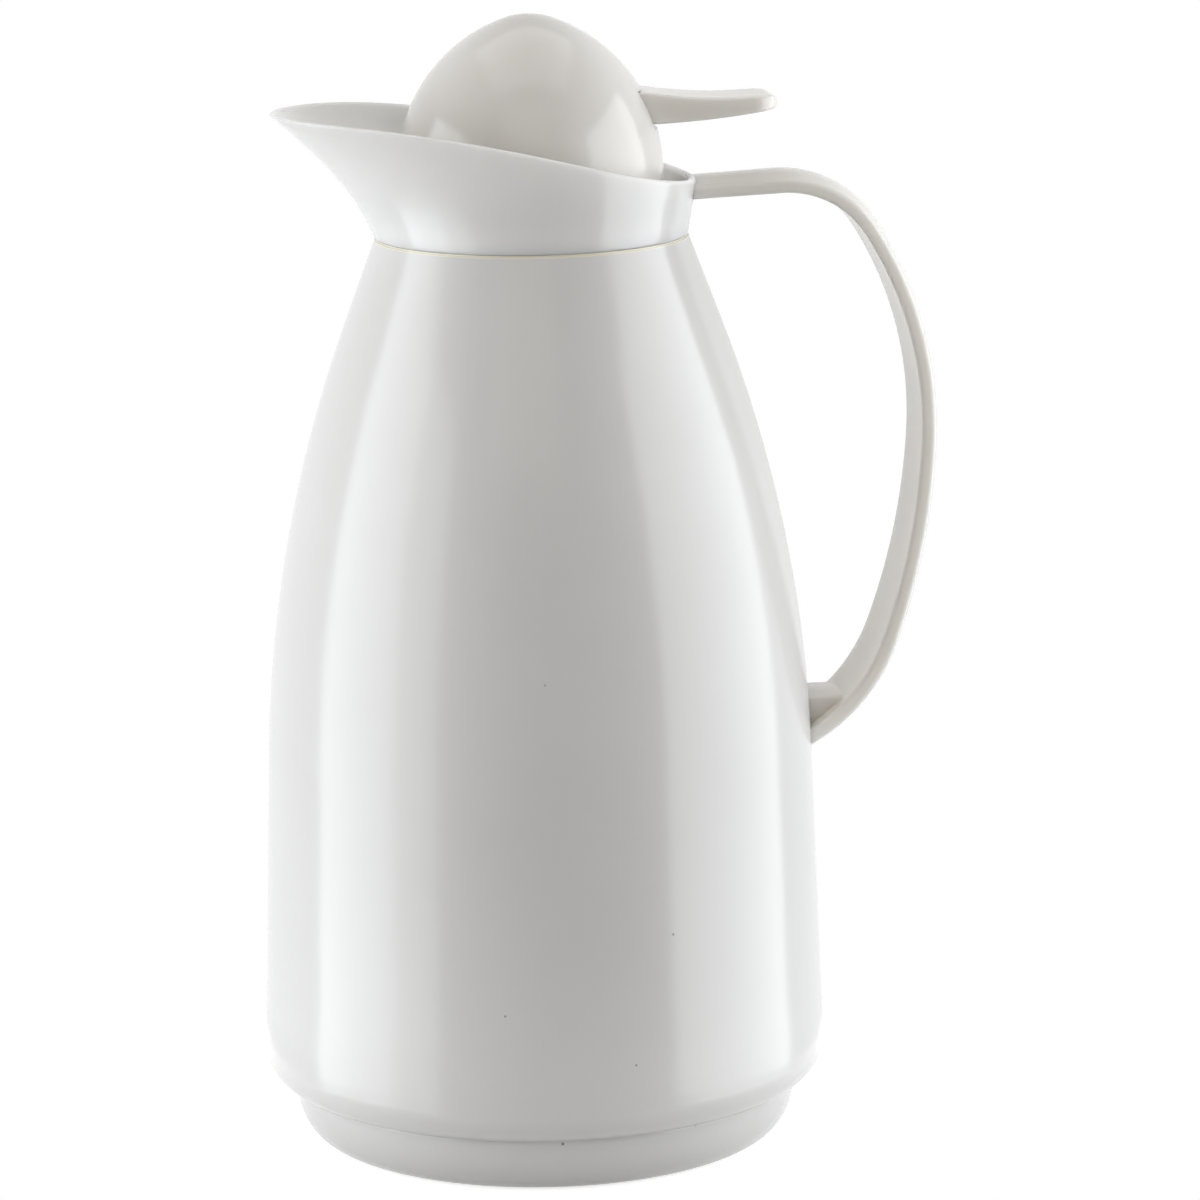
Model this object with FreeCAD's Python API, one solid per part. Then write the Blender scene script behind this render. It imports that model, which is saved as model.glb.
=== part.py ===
"""Thermal carafe: a bowl-shaped base cap, a tapered jacket, a flared pouring collar, a strap
handle, an egg-shaped lid and the thumb lever that hinges in the lid.

Millimetres, +Z up. The origin is the centre of the foot on the surface the carafe stands on.
+X points to the handle and the thumb lever, -X to the pouring lip.
"""
import FreeCAD, Part
import math
import os

V = FreeCAD.Vector
Y_AXIS = V(0, 1, 0)
Z_AXIS = V(0, 0, 1)

# Base cap: a shallow bowl on a foot ring, with a recess inside the ring
foot_radius = 55.8
foot_ring_width = 6.0
foot_recess_depth = 2.5
base_cap_radius = 63.4
base_curve_height = 12.0
base_cap_height = 14.0
base_edge_round = 0.5

# Jacket: rounded lower edge, soft bead, drafted wall, shoulder arc, straight neck cone
jacket_seat_radius = 62.7
jacket_bead_radius = 71.3
jacket_bead_height = 25.0
jacket_round = 8.4
jacket_wall_radius = 70.8
jacket_wall_start_z = 28.5
jacket_wall_draft = 1.92
shoulder_radius = 340.0
neck_cone_angle = 20.5
neck_radius = 38.9
neck_top_z = 227.6

# Seam between jacket and collar: a spigot stands up inside a narrow gap
seam_gap = 0.7
seam_depth = 1.3

# Collar: a funnel whose front runs out into the lip; each flare is the growth in reach per mm of height
collar_base_radius = 38.8
collar_build_height = 36.0
lip_flare = 0.38
lip_curl = 0.0138
side_flare = 0.115
back_flare = 0.17
collar_wall = 2.2
collar_floor = 4.2
collar_foot_round = 0.6
rim_outer_round = 0.65
rim_inner_round = 0.9
rim_front_rise = 31.6
rim_side_rise = 23.6
rim_back_rise = 13.6
rim_back_slope = 0.19
rim_overhang = 12.0

# Lid: a pointed egg made of a tip arc and a side arc over a short straight skirt
lid_radius = 32.9
lid_height = 50.35
lid_tip_radius = 18.4
lid_side_radius = 40.0
lid_foot_round = 1.5

# Thumb lever: a hub on trunnions, a dished blade and a rounded tip. Its pivot is set from the lid's
# axis and foot, and the points of its outline are set from the pivot
lever_width = 19.0
lever_pivot_x = 24.0
lever_pivot_rise = 26.9
lever_hub_radius = 3.8
lever_root = (4.5, 4.15)
lever_dish = (22.5, 2.35)
lever_crest = (34.6, 2.65)
lever_tip = (37.3, 0.6)
lever_belly = (35.6, -0.95)
lever_corner_radius = 6.5
trunnion_radius = 2.0
trunnion_length = 2.6
trunnion_clearance = 0.05
lever_travel = 8.0
lever_clearance = 0.35

# Handle: a strap with a flat inner face and a crowned outer face, wider and thicker at its foot
handle_start_x = 37.0
handle_start_rise = 8.6
handle_rise = 2.5
handle_top_run = 24.4
handle_corner_radius = 23.2
handle_corner_turn = 60.0
handle_upper_bow_radius = 90.0
handle_upper_bow_turn = 35.5
handle_lower_bow_radius = 168.0
handle_lower_bow_turn = 17.2
handle_foot_radius = 43.0
handle_foot_turn = 58.0
handle_width_top = 21.0
handle_width_foot = 27.0
handle_thickness_top = 4.8
handle_thickness_foot = 6.1
handle_crown_radius = 33.0
handle_edge_round = 0.8
handle_station_step = 7.0
handle_peg_width = 13.0
handle_peg_height = 5.8
handle_peg_drop = 125.3
handle_peg_length = 7.5

collar_base_z = neck_top_z + seam_gap
collar_floor_z = collar_base_z + collar_floor
rim_front_z = collar_base_z + rim_front_rise
rim_side_z = collar_base_z + rim_side_rise
rim_back_z = collar_base_z + rim_back_rise
lid_top_z = collar_floor_z + lid_height
lever_pivot_z = collar_floor_z + lever_pivot_rise
handle_start_z = collar_base_z + handle_start_rise
handle_peg_top_z = handle_start_z - handle_peg_drop


def edge_line(start, end):
    """A straight edge between two (x, z) points of the XZ plane."""
    return Part.makeLine(V(start[0], 0, start[1]), V(end[0], 0, end[1]))


def edge_arc(start, middle, end):
    """An arc through three (x, z) points of the XZ plane."""
    points = [V(point[0], 0, point[1]) for point in (start, middle, end)]
    return Part.Arc(*points).toShape()


def quarter_oval(centre, across, up):
    """A quarter of an oval in the XZ plane, from its lowest point out to its widest, as one exact curve."""
    quarter = Part.ArcOfCircle(Part.Circle(), -math.pi / 2, 0).toBSpline()
    for index, pole in enumerate(quarter.getPoles(), start=1):
        quarter.setPole(index, V(centre[0] + pole.x * across, 0, centre[1] + pole.y * up))
    return quarter.toShape()


def point_on_arc(centre, radius, angle):
    """The (x, z) point at an angle in degrees, counted from +X towards +Z."""
    turn = math.radians(angle)
    return (centre[0] + radius * math.cos(turn), centre[1] + radius * math.sin(turn))


def revolved(edges):
    """Turn a closed outline in the XZ plane about Z into a solid."""
    face = Part.Face(Part.Wire(edges))
    solid = face.revolve(V(0, 0, 0), Z_AXIS, 360)
    return solid if solid.Volume > 0 else solid.reversed()


def make_base_cap():
    """The bowl that closes the jacket from below, standing on its foot ring."""
    ring_inner = foot_radius - foot_ring_width
    rim_start = (base_cap_radius, base_cap_height - base_edge_round)
    rim_end = (base_cap_radius - base_edge_round, base_cap_height)
    rim_centre = (rim_end[0], rim_start[1])
    edges = [
        edge_line((0, foot_recess_depth), (ring_inner - foot_recess_depth, foot_recess_depth)),
        edge_line((ring_inner - foot_recess_depth, foot_recess_depth), (ring_inner, 0)),
        edge_line((ring_inner, 0), (foot_radius, 0)),
        quarter_oval((foot_radius, base_curve_height), base_cap_radius - foot_radius, base_curve_height),
        edge_line((base_cap_radius, base_curve_height), rim_start),
        edge_arc(rim_start, point_on_arc(rim_centre, base_edge_round, 45), rim_end),
        edge_line(rim_end, (0, base_cap_height)),
        edge_line((0, base_cap_height), (0, foot_recess_depth)),
    ]
    return revolved(edges)


def jacket_corner():
    """Where the drafted wall and the neck cone would meet, and the two wall directions."""
    draft = math.radians(jacket_wall_draft)
    cone = math.radians(neck_cone_angle)
    span = (neck_top_z - jacket_wall_start_z)
    rise = (jacket_wall_radius - neck_radius - span * math.tan(draft))
    above = rise / (math.tan(cone) - math.tan(draft))
    corner = (neck_radius + above * math.tan(cone), neck_top_z - above)
    return corner, draft, cone


def make_jacket():
    """The outer wall, from the seat on the base cap up to the spigot under the collar."""
    corner, draft, cone = jacket_corner()
    tangent = shoulder_radius * math.tan((cone - draft) / 2)
    wall_end = (corner[0] + tangent * math.sin(draft), corner[1] - tangent * math.cos(draft))
    cone_start = (corner[0] - tangent * math.sin(cone), corner[1] + tangent * math.cos(cone))
    centre = (wall_end[0] - shoulder_radius * math.cos(draft),
              wall_end[1] - shoulder_radius * math.sin(draft))
    shoulder_mid = point_on_arc(centre, shoulder_radius, math.degrees((draft + cone) / 2))
    seat_z = base_cap_height
    round_centre = (jacket_seat_radius, seat_z + jacket_round)
    round_top = (jacket_seat_radius + jacket_round, seat_z + jacket_round)
    wall_start = (jacket_wall_radius, jacket_wall_start_z)
    spigot_radius = neck_radius - seam_depth
    edges = [
        edge_line((0, seat_z), (jacket_seat_radius, seat_z)),
        edge_arc((jacket_seat_radius, seat_z), point_on_arc(round_centre, jacket_round, -45), round_top),
        edge_arc(round_top, (jacket_bead_radius, jacket_bead_height), wall_start),
        edge_line(wall_start, wall_end),
        edge_arc(wall_end, shoulder_mid, cone_start),
        edge_line(cone_start, (neck_radius, neck_top_z)),
        edge_line((neck_radius, neck_top_z), (spigot_radius, neck_top_z)),
        edge_line((spigot_radius, neck_top_z), (spigot_radius, collar_base_z)),
        edge_line((spigot_radius, collar_base_z), (0, collar_base_z)),
        edge_line((0, collar_base_z), (0, seat_z)),
    ]
    return revolved(edges)


def collar_reaches(height):
    """Reach of the collar's outer face at a height: to the lip, to each side, to the handle."""
    front = collar_base_radius + lip_flare * height + lip_curl * height * height
    side = collar_base_radius + side_flare * height
    back = collar_base_radius + back_flare * height
    return front, side, back


def half_oval(reach, side, height, towards):
    """Half of an oval in a level plane: the side facing +X or -X, as one exact curve."""
    half = Part.ArcOfCircle(Part.Circle(), -math.pi / 2, math.pi / 2).toBSpline()
    for index, pole in enumerate(half.getPoles(), start=1):
        half.setPole(index, V(pole.x * reach * towards, pole.y * side, height))
    if towards < 0:
        half.reverse()
    return half.toShape()


def collar_section(height, inset):
    """The collar's closed outline at a height above its base, moved inwards by an inset."""
    front, side, back = collar_reaches(height)
    z = collar_base_z + height
    return Part.Wire([half_oval(back - inset, side - inset, z, 1),
                      half_oval(front - inset, side - inset, z, -1)])


def collar_body(from_height, inset):
    """The solid inside the collar's outline, from a height up past the rim."""
    stations = 6
    step = (collar_build_height - from_height) / (stations - 1)
    sections = [collar_section(from_height + step * index, inset) for index in range(stations)]
    return Part.makeLoft(sections, True, False)


def rim_cutter():
    """Everything above the rim, whose edge sweeps down from the lip to the handle."""
    front, _side, back = collar_reaches(rim_front_z - collar_base_z)
    front_x = -front
    reach = front + rim_overhang
    back_x = collar_reaches(rim_back_z - collar_base_z)[2]
    sweep = Part.BSplineCurve()
    sweep.interpolate([V(front_x, 0, rim_front_z), V(0, 0, rim_side_z), V(back_x, 0, rim_back_z)],
                      InitialTangent=V(1, 0, 0), FinalTangent=V(1, 0, -rim_back_slope))
    top_z = lid_top_z
    end_z = rim_back_z - rim_back_slope * rim_overhang
    edges = [
        edge_line((-reach, rim_front_z), (front_x, rim_front_z)),
        sweep.toShape(),
        edge_line((back_x, rim_back_z), (back_x + rim_overhang, end_z)),
        edge_line((back_x + rim_overhang, end_z), (back_x + rim_overhang, top_z)),
        edge_line((back_x + rim_overhang, top_z), (-reach, top_z)),
        edge_line((-reach, top_z), (-reach, rim_front_z)),
    ]
    face = Part.Face(Part.Wire(edges))
    face.translate(V(0, -reach, 0))
    return face.extrude(Y_AXIS * (2 * reach))


def make_collar():
    """The flared funnel with its pouring lip, closed by a floor that the lid stands on."""
    outside = collar_body(0, 0)
    inside = collar_body(collar_floor, collar_wall)
    collar = outside.cut(inside).cut(rim_cutter())
    collar = collar.makeFillet(rim_outer_round, rim_edges(collar, outer=True))
    collar = collar.makeFillet(rim_inner_round, rim_edges(collar, outer=False))
    return collar.makeFillet(collar_foot_round, foot_edges(collar))


def rim_edges(collar, outer):
    """The edges that run along the rim, on its outer side or on its inner side."""
    side = collar_reaches(rim_side_z - collar_base_z)[1]
    middle = side - collar_wall / 2
    chosen = []
    for edge in collar.Edges:
        box = edge.BoundBox
        along_rim = box.ZMin > rim_back_z - rim_inner_round and box.YLength > 0.9 * middle
        widest = max(box.YMax, -box.YMin)
        if along_rim and (widest > middle) == outer:
            chosen.append(edge)
    return chosen


def foot_edges(collar):
    """The collar's lower outer edges."""
    return [edge for edge in collar.Edges
            if edge.BoundBox.ZMax < collar_base_z + collar_foot_round / 2
            and edge.BoundBox.YLength > collar_base_radius]


def handle_path():
    """The strap's centre line along its inner face, as (start, end, radius, turn) stretches."""
    return [
        (handle_top_run, 0.0, 0.0),
        (None, handle_corner_radius, handle_corner_turn),
        (None, handle_upper_bow_radius, handle_upper_bow_turn),
        (None, handle_lower_bow_radius, handle_lower_bow_turn),
        (None, handle_foot_radius, handle_foot_turn),
    ]


def handle_stations():
    """Evenly spaced (x, z, heading) stations along the path; the heading is in radians."""
    x, z, heading = handle_start_x, handle_start_z, math.radians(handle_rise)
    stations = [(x, z, heading)]
    for run, radius, turn in handle_path():
        angle = math.radians(turn)
        length = run if run else radius * angle
        count = max(1, round(length / handle_station_step))
        for _step in range(count):
            swing = angle / count
            chord = length / count if not radius else 2 * radius * math.sin(swing / 2)
            heading -= swing / 2
            x += chord * math.cos(heading)
            z += chord * math.sin(heading)
            heading -= swing / 2
            stations.append((x, z, heading))
    return stations


def handle_section(station, share):
    """The strap's outline at a station; share runs from 0 at the collar to 1 at the foot."""
    x, z, heading = station
    half = 0.5 * (handle_width_top + (handle_width_foot - handle_width_top) * share)
    thick = handle_thickness_top + (handle_thickness_foot - handle_thickness_top) * share
    outward = V(-math.sin(heading), 0, math.cos(heading))
    origin = V(x, 0, z)
    soft = handle_edge_round
    bend = soft * (1 - math.sqrt(0.5))

    def at(across, out):
        return origin + Y_AXIS * across + outward * out

    def crown(across):
        return thick - across * across / (2 * handle_crown_radius)

    shoulder = crown(half - soft)
    edges = [
        Part.makeLine(at(-half + soft, 0), at(half - soft, 0)),
        Part.Arc(at(half - soft, 0), at(half - bend, bend), at(half, soft)).toShape(),
        Part.makeLine(at(half, soft), at(half, shoulder - soft)),
        Part.Arc(at(half, shoulder - soft), at(half - bend, shoulder - bend), at(half - soft, shoulder)).toShape(),
        Part.Arc(at(half - soft, shoulder), at(0, thick), at(-half + soft, shoulder)).toShape(),
        Part.Arc(at(-half + soft, shoulder), at(-half + bend, shoulder - bend), at(-half, shoulder - soft)).toShape(),
        Part.makeLine(at(-half, shoulder - soft), at(-half, soft)),
        Part.Arc(at(-half, soft), at(-half + bend, bend), at(-half + soft, 0)).toShape(),
    ]
    return Part.Wire(edges)


def make_handle(collar_outside, jacket):
    """The strap, with the level peg behind its foot, cut to lie against collar and jacket."""
    stations = handle_stations()
    last = len(stations) - 1
    sections = [handle_section(station, index / last) for index, station in enumerate(stations)]
    strap = Part.makeLoft(sections, True, False)
    wall = jacket_radius_at(handle_peg_top_z)
    inside_wall = wall - handle_peg_length
    peg = Part.makeBox(2 * handle_peg_length, handle_peg_width, handle_peg_height,
                       V(inside_wall, -handle_peg_width / 2, handle_peg_top_z - handle_peg_height))
    return strap.fuse(peg).cut(collar_outside).cut(jacket)


def jacket_radius_at(z):
    """Radius of the drafted jacket wall at a height."""
    return jacket_wall_radius - (z - jacket_wall_start_z) * math.tan(math.radians(jacket_wall_draft))


def lid_outline():
    """The lid's outline from its foot up to its tip, as edges, with the ends on the axis."""
    tip_centre = (0.0, lid_top_z - lid_tip_radius)
    side_x = lid_radius - lid_side_radius
    apart = lid_side_radius - lid_tip_radius
    side_centre = (side_x, tip_centre[1] - math.sqrt(apart * apart - side_x * side_x))
    blend = math.degrees(math.atan2(tip_centre[1] - side_centre[1], -side_x))
    side_start = (lid_radius, side_centre[1])
    meeting = point_on_arc(side_centre, lid_side_radius, blend)
    foot_z = collar_floor_z
    foot_centre = (lid_radius - lid_foot_round, foot_z + lid_foot_round)
    foot_top = (lid_radius, foot_z + lid_foot_round)
    foot_in = (lid_radius - lid_foot_round, foot_z)
    return [
        edge_line((0, foot_z), foot_in),
        edge_arc(foot_in, point_on_arc(foot_centre, lid_foot_round, -45), foot_top),
        edge_line(foot_top, side_start),
        edge_arc(side_start, point_on_arc(side_centre, lid_side_radius, blend / 2), meeting),
        edge_arc(meeting, point_on_arc(tip_centre, lid_tip_radius, (blend + 90) / 2), (0, lid_top_z)),
        edge_line((0, lid_top_z), (0, foot_z)),
    ]


def from_pivot(offset):
    """A point of the XZ plane, given by its offset from the lever's pivot."""
    return (lever_pivot_x + offset[0], lever_pivot_z + offset[1])


def lever_side():
    """The lever's side outline, as a face in the XZ plane."""
    hub_top = from_pivot((0, lever_hub_radius))
    hub_back = from_pivot((-lever_hub_radius, 0))
    hub_bottom = from_pivot((0, -lever_hub_radius))
    crest = from_pivot(lever_crest)
    belly = from_pivot(lever_belly)
    belly_mid = (0.5 * (hub_bottom[0] + belly[0]), 0.75 * hub_bottom[1] + 0.25 * belly[1])
    top = Part.BSplineCurve()
    top.interpolate([V(x, 0, z) for x, z in (hub_top, from_pivot(lever_root), from_pivot(lever_dish), crest)])
    edges = [
        top.toShape(),
        edge_arc(crest, from_pivot(lever_tip), belly),
        edge_arc(belly, belly_mid, hub_bottom),
        edge_arc(hub_bottom, hub_back, hub_top),
    ]
    return Part.Face(Part.Wire(edges))


def lever_pocket():
    """The room round the hub and blade, open outwards through the whole travel."""
    half = lever_width / 2 + lever_clearance
    radius = lever_hub_radius + lever_clearance
    hub = Part.makeCylinder(radius, 2 * half, V(lever_pivot_x, -half, lever_pivot_z), Y_AXIS)
    low_x, low_z = point_on_arc((lever_pivot_x, lever_pivot_z), radius, -90 - lever_travel)
    roof_z = from_pivot(lever_root)[1] + lever_clearance
    drop = lid_radius * math.tan(math.radians(lever_travel))
    corners = [(low_x, low_z), (low_x + lid_radius, low_z - drop), (low_x + lid_radius, roof_z),
               (lever_pivot_x, roof_z), (lever_pivot_x, lever_pivot_z), (low_x, low_z)]
    face = Part.Face(Part.makePolygon([V(x, -half, z) for x, z in corners]))
    return hub.fuse(face.extrude(Y_AXIS * (2 * half)))


def trunnions(radius, length):
    """The pin through the hub, standing out by a length on each side."""
    half = lever_width / 2 + length
    return Part.makeCylinder(radius, 2 * half, V(lever_pivot_x, -half, lever_pivot_z), Y_AXIS)


def make_lever():
    """The thumb lever: blade, rounded tip corners and trunnions."""
    side = lever_side()
    side.translate(V(0, -lever_width / 2, 0))
    block = side.extrude(Y_AXIS * lever_width)
    depth = 4 * lever_hub_radius
    low_x, low_z = from_pivot((-depth / 2, -depth / 2))
    plan = Part.makeBox(lever_tip[0] + depth / 2, lever_width, depth, V(low_x, -lever_width / 2, low_z))
    corners = [edge for edge in plan.Edges
               if edge.BoundBox.ZLength > depth / 2 and edge.BoundBox.XMin > lever_pivot_x]
    plan = plan.makeFillet(lever_corner_radius, corners)
    return block.common(plan).fuse(trunnions(trunnion_radius, trunnion_length))


def make_lid():
    """The egg-shaped lid, with the pocket that the lever swings in and the trunnion bores."""
    lid = revolved(lid_outline())
    bores = trunnions(trunnion_radius + trunnion_clearance, trunnion_length + lever_clearance)
    return lid.cut(lever_pocket()).cut(bores)


def main():
    """Build every piece and write it to its own file."""
    os.makedirs("parts", exist_ok=True)
    jacket = make_jacket()
    pieces = {
        "base_cap": make_base_cap(),
        "jacket": jacket,
        "collar": make_collar(),
        "handle": make_handle(collar_body(0, 0), jacket),
        "lid": make_lid(),
        "thumb_lever": make_lever(),
    }
    for name, shape in pieces.items():
        box = shape.BoundBox
        print(name, "valid", shape.isValid(), "solids", len(shape.Solids), "volume %.0f" % shape.Volume,
              "x %.1f..%.1f y %.1f..%.1f z %.1f..%.1f"
              % (box.XMin, box.XMax, box.YMin, box.YMax, box.ZMin, box.ZMax))
        shape.exportStep("parts/%s.step" % name)


main()
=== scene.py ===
import logging
from dataclasses import dataclass
from enum import Enum
from functools import lru_cache
from math import atan2, ceil, copysign, cos, degrees, hypot, pi, radians, sin, sqrt, tan, tau
from typing import ClassVar, Sequence

import bmesh
import bpy
from bpy.types import Material, Node, NodeSocket, NodeTree, Object
from mathutils import Matrix, Vector


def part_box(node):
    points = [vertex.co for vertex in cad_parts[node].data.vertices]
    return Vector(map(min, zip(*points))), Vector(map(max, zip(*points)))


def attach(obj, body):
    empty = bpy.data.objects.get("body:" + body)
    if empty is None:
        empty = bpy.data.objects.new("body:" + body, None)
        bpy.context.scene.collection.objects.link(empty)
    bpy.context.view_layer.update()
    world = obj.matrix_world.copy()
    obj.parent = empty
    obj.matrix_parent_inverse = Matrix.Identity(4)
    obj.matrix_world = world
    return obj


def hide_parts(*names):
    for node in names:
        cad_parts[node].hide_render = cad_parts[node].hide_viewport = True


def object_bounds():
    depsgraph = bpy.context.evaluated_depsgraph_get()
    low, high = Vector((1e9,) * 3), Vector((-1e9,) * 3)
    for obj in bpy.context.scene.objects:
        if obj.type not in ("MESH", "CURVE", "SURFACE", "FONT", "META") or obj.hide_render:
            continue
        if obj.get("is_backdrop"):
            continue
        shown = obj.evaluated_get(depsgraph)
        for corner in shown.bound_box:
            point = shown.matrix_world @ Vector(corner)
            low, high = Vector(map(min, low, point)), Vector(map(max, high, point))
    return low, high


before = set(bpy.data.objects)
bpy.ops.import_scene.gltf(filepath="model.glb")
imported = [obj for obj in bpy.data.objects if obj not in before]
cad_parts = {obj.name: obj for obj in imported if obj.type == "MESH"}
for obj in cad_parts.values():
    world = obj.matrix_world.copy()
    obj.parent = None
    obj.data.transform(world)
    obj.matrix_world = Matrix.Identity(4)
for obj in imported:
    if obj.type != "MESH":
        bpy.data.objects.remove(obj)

LOG = logging.getLogger("thermal_carafe")
MM = 0.001
MERGE_GAP = 1e-6
THIN_GAP = 1e-7
Flat = tuple[float, float]
Triple = tuple[float, float, float]
Colour = tuple[float, float, float, float]
Skin = tuple[list[Vector], list[list[int]]]
Given = dict[str | int, object]


class Body(Enum):
    """The rigid bodies that pieces ride on."""

    CARAFE = "carafe"
    LEVER = "lever"


class Slot(Enum):
    """The record's material slots."""

    PEARL = "pearl_white_plastic"
    IVORY = "ivory_white_plastic"


# ---- Node helpers and finishes ----


@dataclass(frozen=True)
class Grain:
    """One noise: the size of its features in millimetres, its octaves and how strong the finer ones are."""

    size: float
    octaves: float
    rough: float


class NodeNet:
    """Adds nodes to one tree and joins them. A Mix node's sockets go by number, as their names repeat."""

    MIX_SHARE, MIX_FIRST, MIX_SECOND = 0, 6, 7
    MIX_RESULT = 2

    def __init__(self, tree: NodeTree) -> None:
        """Start on a shader tree or a geometry tree."""
        self.tree = tree

    def add(self, kind: str, given: Given | None = None, **settings: object) -> Node:
        """Add a node.

        Args:
            kind: the node's type name.
            given: what goes into its inputs.
            settings: properties to set before the inputs.

        Returns:
            The new node.
        """
        node = self.tree.nodes.new(kind)
        for name, value in settings.items():
            setattr(node, name, value)
        self.fill(node, given or {})
        return node

    def fill(self, node: Node, given: Given) -> None:
        """Fill a node's inputs.

        Args:
            node: the node.
            given: an output socket or a constant for each input's name or number.
        """
        for name, value in given.items():
            if isinstance(value, NodeSocket):
                self.tree.links.new(value, node.inputs[name])
            else:
                node.inputs[name].default_value = value

    def maths(self, operation: str, *values: object, clamp: bool = False) -> NodeSocket:
        """The result of a Math node; with clamp, it is kept between 0 and 1."""
        given = dict(enumerate(values))
        return self.add("ShaderNodeMath", given, operation=operation, use_clamp=clamp).outputs[0]

    def axis(self, vector: object, name: str) -> NodeSocket:
        """One coordinate of a vector: X, Y or Z."""
        return self.add("ShaderNodeSeparateXYZ", {0: vector}).outputs[name]

    def smooth_step(self, value: object, low: float, high: float) -> NodeSocket:
        """Rise smoothly from 0 to 1 while a value goes from low to high."""
        given = {"Value": value, "From Min": low, "From Max": high}
        return self.add("ShaderNodeMapRange", given, interpolation_type="SMOOTHSTEP").outputs["Result"]

    def noise(self, place: object, grain: Grain) -> NodeSocket:
        """The value of a noise at a place."""
        given = dict(Vector=place, Scale=1 / MM / grain.size, Detail=grain.octaves, Roughness=grain.rough)
        return self.add("ShaderNodeTexNoise", given).outputs["Fac"]

    def blend(self, share: object, first: object, second: object) -> NodeSocket:
        """Mix two colours; the share, from 0 to 1, is how much of the second one shows."""
        given = {self.MIX_SHARE: share, self.MIX_FIRST: first, self.MIX_SECOND: second}
        return self.add("ShaderNodeMix", given, data_type="RGBA").outputs[self.MIX_RESULT]


@dataclass(frozen=True)
class Ripples:
    """Level rings that show faintly through a moulded wall, such as those of a thread. Millimetres."""

    low_z: float
    high_z: float
    pitch: float
    depth: float
    fade: float = 3.0

    def relief(self, net: NodeNet, level: NodeSocket) -> NodeSocket:
        """Height of the rings.

        Args:
            net: the material's nodes.
            level: the height above the floor, in metres.

        Returns:
            The height's socket, in metres.
        """
        ring = net.maths("SINE", net.maths("MULTIPLY", level, tau / (self.pitch * MM)))
        low, high, fade = self.low_z * MM, self.high_z * MM, self.fade * MM
        inside = net.maths("MULTIPLY", net.smooth_step(level, low, low + fade),
                           net.smooth_step(level, high, high - fade))
        return net.maths("MULTIPLY", net.maths("MULTIPLY", ring, inside), self.depth * MM)


@dataclass(frozen=True)
class MouldedPlastic:
    """Smooth injection-moulded plastic with a faint orange peel, soft sink waves and tiny dark specks.

    Lengths are in millimetres. Light goes depth_reach deep into the plastic, as far as depth_weight tells.
    Each speck is its place and radius. A band of painted shade along a seam, tinted to stand in for its
    shadow line, is given as (middle z, half height). A core is the share of a mark's size that shows in
    full.
    """

    name: str
    colour: Colour
    cloud: Colour
    roughness: float
    roughness_spread: float = 0.05
    refraction: float = 1.49
    clouds: Grain = Grain(45.0, 4.0, 0.6)
    cloud_band: Flat = (0.38, 0.68)
    patches: Grain = Grain(34.0, 3.0, 0.55)
    peel: Grain = Grain(1.6, 2.0, 0.5)
    peel_depth: float = 0.004
    wave: Grain = Grain(26.0, 1.0, 0.4)
    wave_depth: float = 0.10
    depth_weight: float = 0.0
    depth_reach: float = 5.0
    depth_tint: Triple = (1.0, 0.95, 0.85)
    specks: tuple[tuple[float, float, float, float], ...] = ()
    speck_colour: Colour = (0.16, 0.13, 0.09, 1.0)
    speck_strength: float = 0.8
    speck_core: float = 0.35
    ripples: Ripples | None = None
    # Painted shade: a level band tinted along a seam, standing in for the seam's shadow line.
    seam_shade: Flat | None = None
    seam_shade_colour: Colour = (0.80, 0.77, 0.66, 1.0)
    seam_shade_core: float = 0.7

    def material(self) -> Material:
        """Build the node material.

        Returns:
            The new material.
        """
        made = bpy.data.materials.new(self.name)
        made.use_nodes = True
        net = NodeNet(made.node_tree)
        place = net.add("ShaderNodeTexCoord").outputs["Object"]
        patches = net.noise(place, self.patches)
        net.fill(made.node_tree.nodes["Principled BSDF"], {
            "Base Color": self._paint(net, place),
            "Roughness": net.maths("MULTIPLY_ADD", patches, self.roughness_spread, self.roughness),
            "Normal": self._relief(net, place),
            "IOR": self.refraction,
            "Subsurface Weight": self.depth_weight,
            "Subsurface Radius": self.depth_tint,
            "Subsurface Scale": self.depth_reach * MM,
        })
        return made

    def _paint(self, net: NodeNet, place: NodeSocket) -> NodeSocket:
        """Colour with faint clouds, specks and a band of painted shade along a seam.

        Args:
            net: the material's nodes.
            place: the object coordinates.

        Returns:
            The colour's socket.
        """
        cloud = net.smooth_step(net.noise(place, self.clouds), *self.cloud_band)
        paint = net.blend(cloud, self.colour, self.cloud)
        # Painted shade: the seam band blends in a yellowish colour where the seam's shadow line falls.
        if self.seam_shade:
            middle, half = self.seam_shade
            away = net.maths("ABSOLUTE", net.maths("SUBTRACT", net.axis(place, "Z"), middle * MM))
            edge = net.smooth_step(away, half * MM, half * self.seam_shade_core * MM)
            paint = net.blend(edge, paint, self.seam_shade_colour)
        for x, y, z, radius in self.specks:
            given = {0: place, 1: (x * MM, y * MM, z * MM)}
            away = net.add("ShaderNodeVectorMath", given, operation="DISTANCE").outputs["Value"]
            spot = net.smooth_step(away, radius * MM, radius * self.speck_core * MM)
            paint = net.blend(net.maths("MULTIPLY", spot, self.speck_strength), paint, self.speck_colour)
        return paint

    def _relief(self, net: NodeNet, place: NodeSocket) -> NodeSocket:
        """Orange peel, sink waves and ripples, as one bump.

        Args:
            net: the material's nodes.
            place: the object coordinates.

        Returns:
            The normal's socket.
        """
        peel, wave = (net.maths("MULTIPLY", net.noise(place, grain), depth * MM)
                      for grain, depth in ((self.peel, self.peel_depth), (self.wave, self.wave_depth)))
        height = net.maths("ADD", peel, wave)
        if self.ripples:
            height = net.maths("ADD", height, self.ripples.relief(net, net.axis(place, "Z")))
        return net.add("ShaderNodeBump", {"Height": height, "Distance": 1.0}).outputs["Normal"]


# ---- Mesh helpers: outlines, the lathe tree, and skins over rings of points ----


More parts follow.
